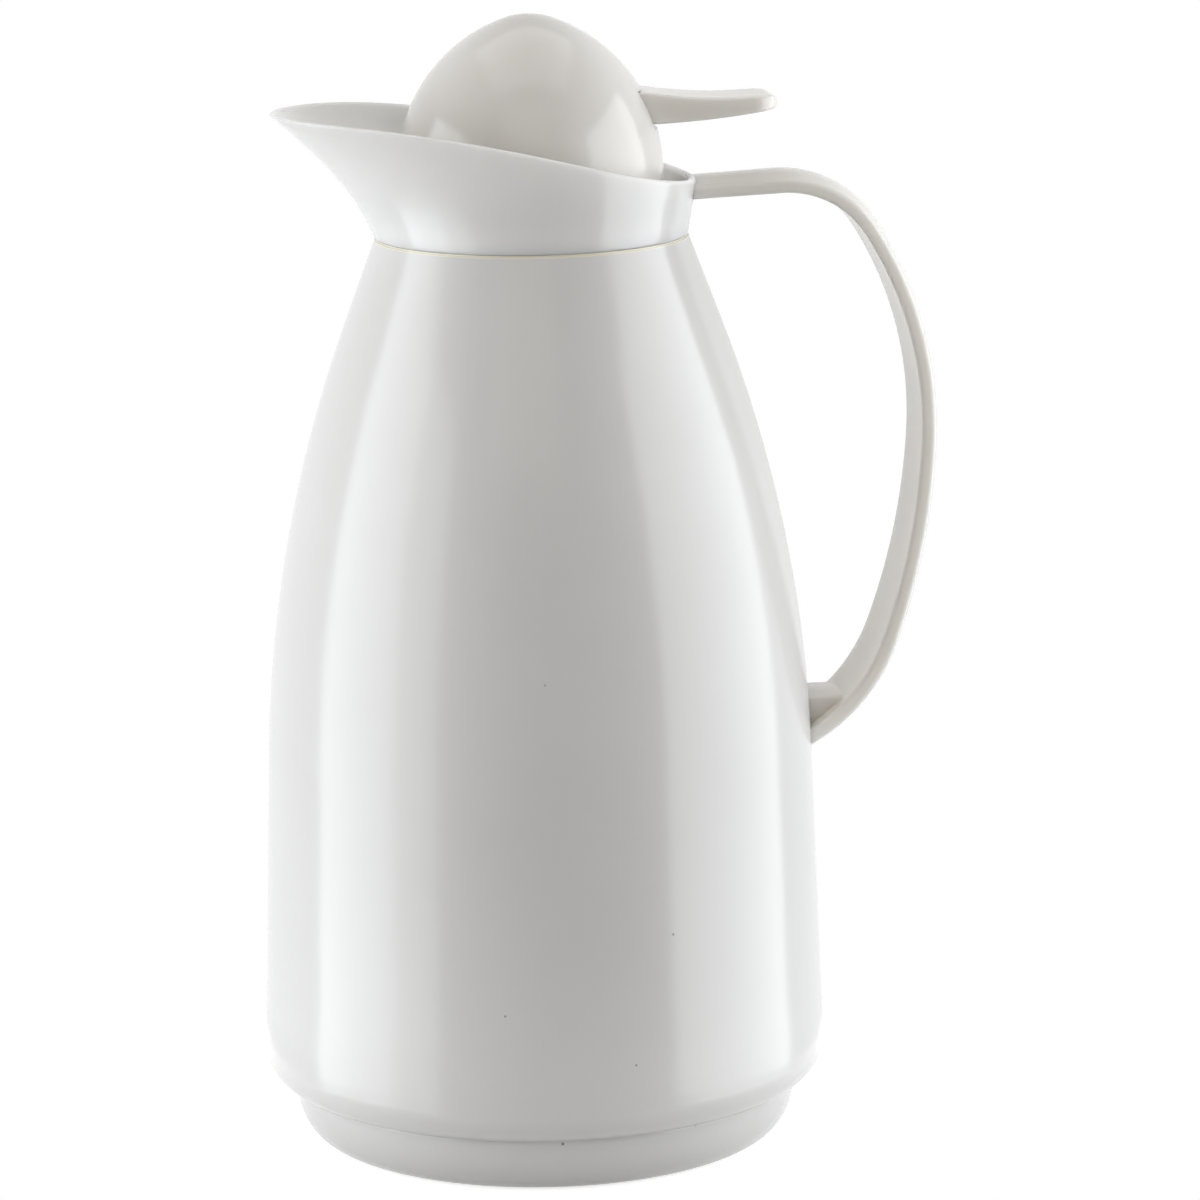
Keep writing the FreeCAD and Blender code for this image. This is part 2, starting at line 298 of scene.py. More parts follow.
class Outline:
    """A run of points in a plane, made of straight lines and arcs. Millimetres."""

    def __init__(self, start: Flat, step: float = 1.0) -> None:
        """Start the run at a point; step is the spacing of the points along arcs."""
        self.points: list[Flat] = [start]
        self.step = step

    def line(self, end: Flat, pieces: int = 1) -> "Outline":
        """Go straight to a point.

        Args:
            end: the point.
            pieces: how many equal runs the line is made of.

        Returns:
            The outline itself.
        """
        x0, y0 = self.points[-1]
        for share in shares(pieces)[1:]:
            self.points.append((x0 + (end[0] - x0) * share, y0 + (end[1] - y0) * share))
        return self

    def arc(self, centre: Flat, end_angle: float, radii: Flat | None = None) -> "Outline":
        """Follow a round or oval arc from the last point.

        Args:
            centre: the arc's centre.
            end_angle: the last angle, in degrees from the first axis.
            radii: the two half axes of an oval; a round arc needs none.

        Returns:
            The outline itself.
        """
        x, y = self.points[-1]
        if radii is None:
            size = hypot(x - centre[0], y - centre[1])
            radii = (size, size)
        start = atan2((y - centre[1]) / radii[1], (x - centre[0]) / radii[0])
        sweep = radians(end_angle) - start
        count = max(4, ceil(abs(sweep) * max(radii) / self.step))
        for share in shares(count)[1:]:
            angle = start + sweep * share
            self.points.append((centre[0] + radii[0] * cos(angle), centre[1] + radii[1] * sin(angle)))
        return self


def place_object(name: str, data: bpy.types.ID) -> Object:
    """Make an object of some data and link it to the scene.

    Args:
        name: the object's name.
        data: a mesh, a lamp or a camera.

    Returns:
        The new object.
    """
    made = bpy.data.objects.new(name, data)
    bpy.context.scene.collection.objects.link(made)
    return made


def place_mesh(name: str, points: Sequence[Vector], faces: Sequence[Sequence[int]],
               edges: Sequence[tuple[int, int]] = ()) -> Object:
    """Make an object at the origin from points in millimetres.

    Args:
        name: the object's name.
        points: the corners.
        faces: corner numbers of each face.
        edges: corner numbers of each loose edge.

    Returns:
        The new object, linked to the scene.
    """
    mesh = bpy.data.meshes.new(name)
    mesh.from_pydata([Vector(point) * MM for point in points], list(edges), list(faces))
    return place_object(name, mesh)


def tidy_surface(piece: Object, sharp_angle: float = 32.0) -> Object:
    """Merge doubles, turn faces outwards and shade smooth up to an angle.

    Args:
        piece: the object to tidy.
        sharp_angle: edges that bend more than this many degrees stay sharp.

    Returns:
        The same object.
    """
    work = bmesh.new()
    work.from_mesh(piece.data)
    bmesh.ops.remove_doubles(work, verts=work.verts, dist=MERGE_GAP)
    bmesh.ops.dissolve_degenerate(work, edges=work.edges, dist=THIN_GAP)
    bmesh.ops.recalc_face_normals(work, faces=work.faces)
    limit = radians(sharp_angle)
    for face in work.faces:
        face.smooth = True
    for edge in work.edges:
        edge.smooth = len(edge.link_faces) == 2 and edge.calc_face_angle(0.0) < limit
    work.to_mesh(piece.data)
    work.free()
    return piece


def skin_rings(rings: Sequence[Sequence[Vector]], close_ends: bool = True) -> Skin:
    """Join rings of equally many points with quads.

    Args:
        rings: the rings, in order; each is closed on itself.
        close_ends: whether the first and last ring get a fan round their middle.

    Returns:
        The points, and the corner numbers of the faces.
    """
    count = len(rings[0])
    points = [Vector(point) for ring in rings for point in ring]
    faces = []
    for base in range(0, (len(rings) - 1) * count, count):
        for index in range(count):
            after = (index + 1) % count
            faces.append([base + index, base + after, base + count + after, base + count + index])
    for row in (0, len(rings) - 1) if close_ends else ():
        points.append(sum((Vector(point) for point in rings[row]), Vector()) / count)
        hub = len(points) - 1
        faces.extend([row * count + index, row * count + (index + 1) % count, hub] for index in range(count))
    return points, faces


class Lathe:
    """A Geometry Nodes tree that turns an outline about Z and gives it a material."""

    def __init__(self) -> None:
        """Build the tree and its named inputs."""
        self.tree = bpy.data.node_groups.new("lathe", "GeometryNodeTree")
        face = self.tree.interface
        face.new_socket("Outline", in_out="INPUT", socket_type="NodeSocketGeometry")
        self.turns = face.new_socket("Turns", in_out="INPUT", socket_type="NodeSocketInt")
        self.finish = face.new_socket("Finish", in_out="INPUT", socket_type="NodeSocketMaterial")
        face.new_socket("Geometry", in_out="OUTPUT", socket_type="NodeSocketGeometry")
        self._wire()

    def _wire(self) -> None:
        """Wire the tree: a grid whose columns are the outline's points, wrapped round the axis."""
        net = NodeNet(self.tree)
        given = net.add("NodeGroupInput").outputs
        place = net.add("GeometryNodeInputPosition").outputs[0]
        size = net.add("GeometryNodeAttributeDomainSize", {"Geometry": given["Outline"]}, component="MESH")
        count = size.outputs["Point Count"]
        grid = net.add("GeometryNodeMeshGrid", {"Size X": 1.0, "Size Y": 1.0, "Vertices X": count,
                                                "Vertices Y": net.maths("ADD", given["Turns"], 1.0)})
        across, around = (net.maths("ADD", net.axis(place, name), 0.5) for name in "XY")
        row = net.maths("ROUND", net.maths("MULTIPLY", across, net.maths("SUBTRACT", count, 1.0)))
        sample = net.add("GeometryNodeSampleIndex", dict(Geometry=given["Outline"], Value=place, Index=row),
                         data_type="FLOAT_VECTOR", domain="POINT")
        turn = net.add("ShaderNodeVectorRotate", {"Vector": sample.outputs["Value"],
                                                  "Angle": net.maths("MULTIPLY", around, tau)},
                       rotation_type="Z_AXIS")
        made = grid.outputs["Mesh"]
        for kind, inputs in (("GeometryNodeSetPosition", {"Position": turn.outputs["Vector"]}),
                             ("GeometryNodeMergeByDistance", {"Distance": MERGE_GAP}),
                             ("GeometryNodeRealizeInstances", {}),
                             ("GeometryNodeSetMaterial", {"Material": given["Finish"]})):
            made = net.add(kind, {"Geometry": made} | inputs).outputs["Geometry"]
        net.add("NodeGroupOutput", {"Geometry": made})

    def spin(self, name: str, outline: Outline, turns: int, finish: Material) -> Object:
        """Turn an outline into a closed piece.

        Args:
            name: the piece's name.
            outline: points as (radius, z); the first and last lie on the axis.
            turns: how many columns go round.
            finish: the piece's material.

        Returns:
            The finished object, a plain mesh.
        """
        rail = [Vector((x, 0.0, z)) for x, z in outline.points]
        made = place_mesh(name, rail, (), [(index, index + 1) for index in range(len(rail) - 1)])
        modifier = made.modifiers.new("lathe", "NODES")
        modifier.node_group = self.tree
        modifier[self.turns.identifier] = turns
        modifier[self.finish.identifier] = finish
        bake_modifiers(made)
        return tidy_surface(made)


def bake_modifiers(piece: Object) -> None:
    """Turn a piece with live modifiers into a plain mesh.

    Args:
        piece: the object to change.
    """
    graph = bpy.context.evaluated_depsgraph_get()
    solid = bpy.data.meshes.new_from_object(piece.evaluated_get(graph))
    piece.modifiers.clear()
    piece.data = solid


def combine(piece: Object, other: Object, operation: str) -> None:
    """Cut another solid out of a piece, or fuse it on, and remove that solid.

    Args:
        piece: the piece to change.
        other: the solid that is used up.
        operation: DIFFERENCE or UNION.
    """
    change = piece.modifiers.new("combine", "BOOLEAN")
    change.operation = operation
    change.solver = "EXACT"
    change.object = other
    bake_modifiers(piece)
    bpy.data.objects.remove(other)


def dress(piece: Object, finish: Material) -> None:
    """Give a piece one material."""
    piece.data.materials.clear()
    piece.data.materials.append(finish)


@lru_cache(maxsize=None)
def top_of(node: str) -> float:
    """Highest level of a CAD node, in millimetres."""
    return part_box(node)[1].z / MM


@lru_cache(maxsize=None)
def foot_of(node: str) -> float:
    """Lowest level of a CAD node, in millimetres."""
    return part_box(node)[0].z / MM


def shares(count: int) -> list[float]:
    """Places along a run in equal steps, from 0 to 1, both ends included."""
    return [index / count for index in range(count + 1)]


def quarter(count: int) -> list[float]:
    """Angles of a quarter turn in equal steps, in radians, both ends included."""
    return [pi / 2 * share for share in shares(count)]


def polar(centre: Flat, radius: float, angle: float) -> Flat:
    """The point of a circle at an angle, in radians."""
    return (centre[0] + radius * cos(angle), centre[1] + radius * sin(angle))


def arch(radius: float, away: float) -> float:
    """Height of a circle over its middle line at a distance from the centre, and 0 beyond it."""
    return sqrt(max(0.0, radius * radius - away * away))


def hermite(share: float, start: float, end: float, start_slope: float, end_slope: float) -> float:
    """A cubic between two values.

    Args:
        share: how far along, from 0 to 1.
        start: the first value.
        end: the last value.
        start_slope: change per whole run at the start.
        end_slope: the same at the end.

    Returns:
        The value there.
    """
    square, cube = share * share, share ** 3
    return ((2 * cube - 3 * square + 1) * start + (cube - 2 * square + share) * start_slope
            + (3 * square - 2 * cube) * end + (cube - square) * end_slope)


# ---- The turned pieces: base cap, jacket and lid ----


@dataclass
class Piece:
    """A visible piece: its name, the CAD node it replaces, its body, its material slot and its finish."""

    name: ClassVar[str]
    node: ClassVar[str]
    body: ClassVar[Body] = Body.CARAFE
    slot: ClassVar[Slot] = Slot.PEARL
    finish: Material

    def shape(self) -> Object:
        """Model the piece; each kind of piece has its own way."""
        raise NotImplementedError

    def build(self) -> None:
        piece = self.shape()
        dress(piece, self.finish)
        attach(piece, self.body.value)
        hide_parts(self.node)
        LOG.info("%s: %d points, %d faces, on %s", piece.name, len(piece.data.vertices),
                 len(piece.data.polygons), self.body.value)


@dataclass
class Turned(Piece):
    """A piece that is one closed outline turned about Z."""

    lathe: Lathe
    turns: ClassVar[int] = 240

    def outline(self) -> Outline:
        """The section as (radius, z) points; each piece has its own."""
        raise NotImplementedError

    def shape(self) -> Object:
        """The turned outline."""
        return self.lathe.spin(self.name, self.outline(), self.turns, self.finish)


@dataclass
class BaseCap(Turned):
    """The shallow bowl under the jacket, standing on its foot ring."""

    name = "base_cap_shell"
    node = "base_cap"
    foot_radius: float = 55.8
    foot_ring_width: float = 6.0
    recess_depth: float = 2.5
    radius: float = 63.4
    curve_height: float = 12.0
    edge_round: float = 0.5

    def outline(self) -> Outline:
        """The section from the axis in the recess, round the bowl, back to the axis.

        Returns:
            The (radius, z) points.
        """
        inner = self.foot_radius - self.foot_ring_width
        top = top_of(self.node)
        run = Outline((0.0, self.recess_depth), step=0.9)
        run.line((inner - self.recess_depth, self.recess_depth), pieces=6)
        run.line((inner, 0.0), pieces=2)
        run.line((self.foot_radius, 0.0), pieces=3)
        bowl = (self.radius - self.foot_radius, self.curve_height)
        run.arc((self.foot_radius, self.curve_height), 0.0, bowl)
        run.line((self.radius, top - self.edge_round), pieces=2)
        run.arc((self.radius - self.edge_round, top - self.edge_round), 90.0)
        return run.line((0.0, top), pieces=6)


@dataclass
class Jacket(Turned):
    """The outer wall: rounded lower edge, soft bead, drafted wall, shoulder arc and neck cone."""

    name = "jacket_shell"
    node = "jacket"
    turns = 288
    seat_radius: float = 62.7
    bead_radius: float = 71.1
    bead_rise: float = 11.0
    lower_round: float = 8.4
    bead_steps: int = 12
    wall_radius: float = 70.48
    wall_start_rise: float = 24.0
    wall_draft: float = 1.92
    shoulder_radius: float = 340.0
    cone_angle: float = 20.5
    neck_radius: float = 38.9
    seam_gap: float = 0.4
    seam_depth: float = 0.35

    def outline(self) -> Outline:
        """The section from the seat on the base cap up to the spigot under the collar.

        Returns:
            The (radius, z) points.
        """
        seat, crown = foot_of(self.node), top_of(self.node)
        neck = crown - self.seam_gap
        wall_z = seat + self.wall_start_rise
        draft, cone = radians(self.wall_draft), radians(self.cone_angle)
        spare = self.wall_radius - self.neck_radius - (neck - wall_z) * tan(draft)
        above = spare / (tan(cone) - tan(draft))
        corner = (self.neck_radius + above * tan(cone), neck - above)
        tangent = self.shoulder_radius * tan((cone - draft) / 2)
        wall_end = (corner[0] + tangent * sin(draft), corner[1] - tangent * cos(draft))
        centre = polar(wall_end, -self.shoulder_radius, draft)
        run = Outline((0.0, seat), step=0.7)
        run.line((self.seat_radius, seat), pieces=8)
        run.arc((self.seat_radius, seat + self.lower_round), 0.0)
        bead_z = seat + self.bead_rise
        run.line((self.bead_radius, bead_z), pieces=5)
        rise = wall_z - bead_z
        for share in shares(self.bead_steps)[1:]:
            radius = hermite(share, self.bead_radius, self.wall_radius, 0.0, -tan(draft) * rise)
            run.line((radius, bead_z + rise * share))
        run.line(wall_end, pieces=24)
        run.step = 2.4
        run.arc(centre, self.cone_angle)
        run.line((self.neck_radius, neck), pieces=10)
        spigot = self.neck_radius - self.seam_depth
        return run.line((spigot, neck)).line((spigot, crown)).line((0.0, crown), pieces=5)


@dataclass
class LeverForm:
    """Sizes that the thumb lever and its pocket in the lid share. Outline points are set from the pivot."""

    width: float = 19.0
    pivot_x: float = 24.0
    pivot_rise: float = 26.9
    hub_radius: float = 3.8
    root: Flat = (4.5, 4.15)
    dish: Flat = (22.5, 2.35)
    crest: Flat = (34.6, 2.65)
    tip: Flat = (37.3, 0.6)
    belly: Flat = (35.6, -0.95)
    corner_radius: float = 6.5
    edge_round: float = 1.0
    trunnion_radius: float = 2.0
    trunnion_length: float = 2.6
    bore_clearance: float = 0.05
    clearance: float = 0.35
    travel: float = 8.0

    @property
    def pivot(self) -> Flat:
        """The hinge line's place as (x, z)."""
        return (self.pivot_x, foot_of("lid") + self.pivot_rise)


@dataclass
class Lid(Turned):
    """The pointed egg: a tip arc and a side arc over a short straight skirt, with the lever's pocket."""

    name = "lid_shell"
    node = "lid"
    slot = Slot.IVORY
    form: LeverForm
    radius: float = 32.9
    tip_radius: float = 18.4
    side_radius: float = 40.0
    foot_round: float = 1.5
    pocket_steps: int = 24
    sharp_angle: float = 40.0

    def outline(self) -> Outline:
        """The section from the foot to the tip.

        Returns:
            The (radius, z) points.
        """
        foot, top = foot_of(self.node), top_of(self.node)
        tip_centre = (0.0, top - self.tip_radius)
        side_x = self.radius - self.side_radius
        apart = self.side_radius - self.tip_radius
        side_centre = (side_x, tip_centre[1] - sqrt(apart * apart - side_x * side_x))
        blend = degrees(atan2(tip_centre[1] - side_centre[1], -side_x))
        run = Outline((0.0, foot), step=0.8)
        run.line((self.radius - self.foot_round, foot), pieces=6)
        run.arc((self.radius - self.foot_round, foot + self.foot_round), 0.0)
        run.line((self.radius, side_centre[1]), pieces=5)
        run.arc(side_centre, blend)
        run.arc(tip_centre, 90.0)
        run.points[-1] = (0.0, top)
        return run

    def pocket(self) -> Object:
        """The room round the lever's hub, open outwards through its whole travel.

        Returns:
            The cutting object.
        """
        form = self.form
        half = form.width / 2 + form.clearance
        reach = form.hub_radius + form.clearance
        roof = form.pivot[1] + form.root[1] + form.clearance
        right = radians(90)
        low = radians(-90 - form.travel)
        start = polar(form.pivot, reach, low)
        mouth = start[0] + self.radius
        side = [(mouth, start[1] - self.radius * tan(radians(form.travel))), (mouth, roof),
                (form.pivot[0], roof)]
        side += [polar(form.pivot, reach, right + (tau + low - right) * share)
                 for share in shares(self.pocket_steps)]
        points = [Vector((x, y, z)) for y in (-half, half) for x, z in side]
        total = len(side)
        faces = [list(range(total)), list(range(total, 2 * total))]
        faces += [[i, (i + 1) % total, total + (i + 1) % total, total + i] for i in range(total)]
        return tidy_surface(place_mesh("pocket_cutter", points, faces))

    def shape(self) -> Object:
        """The turned egg with the pocket and the bores for the lever's pins cut out.

        Returns:
            The new object.
        """
        form = self.form
        piece = super().shape()
        reach = form.width / 2 + form.trunnion_length + form.clearance
        bores = rod("bore_cutter", form.pivot, reach, form.trunnion_radius + form.bore_clearance)
        for cutter in (self.pocket(), bores):
            combine(piece, cutter, "DIFFERENCE")
        return tidy_surface(piece, self.sharp_angle)


def rod(name: str, place: Flat, half_length: float, radius: float) -> Object:
    """A round rod across the carafe, with softened ends.

    Args:
        name: the object's name.
        place: its axis as (x, z).
        half_length: how far it reaches to each side.
        radius: its radius.

    Returns:
        The new object.
    """
    sides, soft = 40, 0.25
    rings = []
    for y, size in ((-half_length, radius - soft), (-half_length + soft, radius),
                    (half_length - soft, radius), (half_length, radius - soft)):
        ring = [polar(place, size, tau * index / sides) for index in range(sides)]
        rings.append([Vector((x, y, z)) for x, z in ring])
    return tidy_surface(place_mesh(name, *skin_rings(rings)))


# ---- The collar ----


@dataclass
class Collar(Piece):
    """The funnel on the neck: an oval that runs out into the lip, with a rim that falls to the handle."""

    name = "collar_shell"
    node = "collar"
    base_radius: float = 38.8
    lip_flare: float = 0.38
    lip_curl: float = 0.0138
    side_flare: float = 0.115
    back_flare: float = 0.17
    wall: float = 2.2
    floor_rise: float = 4.2
    foot_round: float = 0.6
    rim_front: Flat = (-64.6, 31.6)
    rim_side_rise: float = 23.6
    rim_back: Flat = (41.1, 13.6)
    rim_back_slope: float = -0.19
    rim_passes: int = 12
    floor_round: float = 3.0
    columns: int = 288
    wall_rows: int = 30
    lip_rows: int = 12
    foot_shares: Triple = (0.4, 0.8, 0.93)
    floor_shares: Flat = (0.2, 0.6)

    def rim_rise(self, x: float) -> float:
        """Height of the rim over the collar's foot; its slope over the axis bends both sides alike.

        Args:
            x: the place along the carafe, from lip to handle.

        Returns:
            The height in millimetres.
        """
        (x0, z0), (x2, z2), middle = self.rim_front, self.rim_back, self.rim_side_rise
        first, second = -x0, x2
        even = 3 * ((middle - z0) / first / first + (z2 - middle) / second / second)
        slope = (even - self.rim_back_slope / second) / (2 / first + 2 / second)
        if x < 0:
            return hermite((x - x0) / first, z0, middle, 0.0, slope * first)
        return hermite(x / second, middle, z2, slope * second, self.rim_back_slope * second)

    def wall_point(self, turn: float, rise: float, inset: float) -> Vector:
        """A point of the wall.

        Args:
            turn: the direction, in radians; 0 is towards the handle.
            rise: height over the collar's foot.
            inset: distance inwards from the outer face.

        Returns:
            The point.
        """
        side = self.base_radius + self.side_flare * rise - inset
        if cos(turn) < 0:
            reach = self.base_radius + self.lip_flare * rise + self.lip_curl * rise * rise - inset
        else:
            reach = self.base_radius + self.back_flare * rise - inset
        return Vector((reach * cos(turn), side * sin(turn), foot_of(self.node) + rise))

    def rim_at(self, turn: float) -> float:
        """Rise at which the wall meets the rim, in one direction.

        Args:
            turn: the direction, in radians.

        Returns:
            The rise in millimetres.
        """
        rise = self.rim_side_rise
        for _pass in range(self.rim_passes):
            rise = 0.5 * rise + 0.5 * self.rim_rise(self.wall_point(turn, rise, 0.0).x)
        return rise

    def column(self, turn: float) -> list[Vector]:
        """The wall's section in one direction, from the axis underneath, over the rim, to the axis above.

        Args:
            turn: the direction, in radians.

        Returns:
            The section's points.
        """
        rim, half, soft = self.rim_at(turn), self.wall / 2, self.foot_round
        run = self.wall_point(turn, rim, half) - self.wall_point(turn, rim - 1.0, half)
        run.normalize()
        top = rim - half * run.z
        foot = Vector((0.0, 0.0, foot_of(self.node)))
        points = [foot] + [foot.lerp(self.wall_point(turn, 0.0, soft), share) for share in self.foot_shares]
        points += [self.wall_point(turn, soft * (1 - cos(angle)), soft * (1 - sin(angle)))
                   for angle in quarter(4)]
        points += [self.wall_point(turn, soft + (top - soft) * share, 0.0)
                   for share in shares(self.wall_rows)[1:]]
        centre = self.wall_point(turn, top, half)
        out = points[-1] - centre
        points += [centre + out * cos(pi * share) + run * (half * sin(pi * share))
                   for share in shares(self.lip_rows)[1:-1]]
        low = self.floor_rise + self.floor_round
        points += [self.wall_point(turn, top + (low - top) * share, self.wall)
                   for share in shares(self.wall_rows - 1)]
        points += [self.wall_point(turn, low - self.floor_round * sin(angle),
                                   self.wall + self.floor_round * (1 - cos(angle)))
                   for angle in quarter(5)[1:]]
        edge, middle = points[-1], Vector((0.0, 0.0, foot_of(self.node) + self.floor_rise))
        return points + [edge.lerp(middle, share) for share in self.floor_shares] + [middle]

    def shape(self) -> Object:
        """The columns, joined round the axis.

        Returns:
            The new object.
        """
        columns = [self.column(tau * index / self.columns) for index in range(self.columns)]
        rings = [list(ring) for ring in zip(*columns)]
        return tidy_surface(place_mesh(self.name, *skin_rings(rings, close_ends=False)))


# ---- The handle and the thumb lever ----


@dataclass
class Handle(Piece):
    """The strap with a flat inner face and a crowned outer face, and the level peg behind its foot.

    The bends are (radius, degrees), from the collar to the foot.
    """

    name = "handle_strap"
    node = "handle"
    slot = Slot.IVORY
    start_x: float = 37.0
    start_rise: float = 8.6
    rise_angle: float = 2.5
    top_run: float = 24.4
    bends: tuple[Flat, ...] = ((23.2, 60.0), (90.0, 35.5), (168.0, 17.2), (43.0, 48.0))
    width_top: float = 21.0
    width_foot: float = 27.0
    thickness_top: float = 4.76
    thickness_foot: float = 6.06
    crown_radius: float = 33.0
    edge_round: float = 0.9
    step: float = 1.6
    hidden_run: float = 2.2
    face_steps: int = 5
    edge_steps: int = 6
    side_steps: int = 4
    crown_steps: int = 10
    peg_width: float = 17.0
    peg_height: float = 5.8
    peg_drop: float = 127.0
    peg_reach: Flat = (64.0, 77.6)
    peg_sink: float = 1.5
    peg_round: float = 0.7
    peg_steps: int = 8
    peg_corner_steps: int = 4
    peg_search_rise: float = 5.0

    def stations(self) -> list[Triple]:
        """Stations along the inner face.

        Returns:
            Each station's x, z and heading in radians.
        """
        heading = radians(self.rise_angle)
        x = self.start_x + self.hidden_run * cos(heading)
        z = foot_of("collar") + self.start_rise + self.hidden_run * sin(heading)
        found = [(x, z, heading)]
        runs = [(self.top_run - self.hidden_run, 0.0)]
        runs += [(radius * radians(turn), radians(turn)) for radius, turn in self.bends]
        for length, turn in runs:
            count = max(1, round(length / self.step))
            swing, chord = turn / count, length / count
            if turn:
                chord *= sin(swing / 2) / (swing / 2)
            for _index in range(count):
                heading -= swing / 2
                x += chord * cos(heading)
                z += chord * sin(heading)
                heading -= swing / 2
                found.append((x, z, heading))
        return found

    def section(self, station: Triple, share: float) -> list[Vector]:
        """The strap's outline at a station.

        Args:
            station: x, z and heading.
            share: 0 at the collar, 1 at the foot.

        Returns:
            A ring of points.
        """
        x, z, heading = station
        half = 0.5 * (self.width_top + (self.width_foot - self.width_top) * share)
        thick = self.thickness_top + (self.thickness_foot - self.thickness_top) * share
        outward = Vector((-sin(heading), 0.0, cos(heading)))
        soft = self.edge_round
        inner = half - soft

        def crown(across: float) -> float:
            """Height of the outer face over the inner face."""
            return thick - across * across / (2 * self.crown_radius)

        shoulder = crown(half)
        side = shoulder - 2 * soft
        corners = quarter(self.edge_steps)[1:]
        right = [(inner * share, 0.0) for share in shares(self.face_steps)]
        right += [(inner + soft * sin(angle), soft * (1 - cos(angle))) for angle in corners]
        right += [(half, soft + side * share) for share in shares(self.side_steps)[1:]]
        lift = crown(inner) - shoulder + soft
        right += [(inner + soft * cos(angle), (shoulder - soft) + lift * sin(angle)) for angle in corners]
        right += [(inner * share, crown(inner * share)) for share in shares(self.crown_steps)[-2::-1]]
        ring = right + [(-y, t) for y, t in right[-2:0:-1]]
        origin = Vector((x, 0.0, z))
        return [origin + Vector((0.0, y, 0.0)) + outward * t for y, t in ring]

    def shape(self) -> Object:
        """The strap and its peg, fused.

        Returns:
            The new object.
        """
        stations = self.stations()
        rings = [self.section(station, share) for station, share in zip(stations, shares(len(stations) - 1))]
        piece = tidy_surface(place_mesh(self.name, *skin_rings(rings)))
        peg = tidy_surface(place_mesh("peg_block", *self._peg(stations)))
        combine(piece, peg, "UNION")
        return tidy_surface(piece)

    def _peg(self, stations: Sequence[Triple]) -> Skin:
        """The peg: a level block with softened edges, its underside run down into the strap.

        Args:
            stations: the stations along the strap's inner face.

        Returns:
            The points, and the corner numbers of the faces.
        """
        top = foot_of("collar") + self.start_rise - self.peg_drop
        half, soft = self.peg_width / 2, self.peg_round
        below = [station for station in stations if station[1] < top + self.peg_search_rise]
        x0, x1 = self.peg_reach
        rings = []
        for share in shares(self.peg_steps):
            x = x0 + (x1 - x0) * share
            strap_z = min(below, key=lambda station: abs(station[0] - x))[1]
            low = min(max(top - self.peg_height, strap_z - 2 * self.peg_sink), strap_z - self.peg_sink)
            corners = ((half - soft, low + soft, -90), (half - soft, top - soft, 0),
                       (-half + soft, top - soft, 90), (-half + soft, low + soft, 180))
            ring = [polar((y, z), soft, radians(first + 90 * part))
                    for y, z, first in corners for part in shares(self.peg_corner_steps)]
            rings.append([Vector((x, y, z)) for y, z in ring])
        return skin_rings(rings)


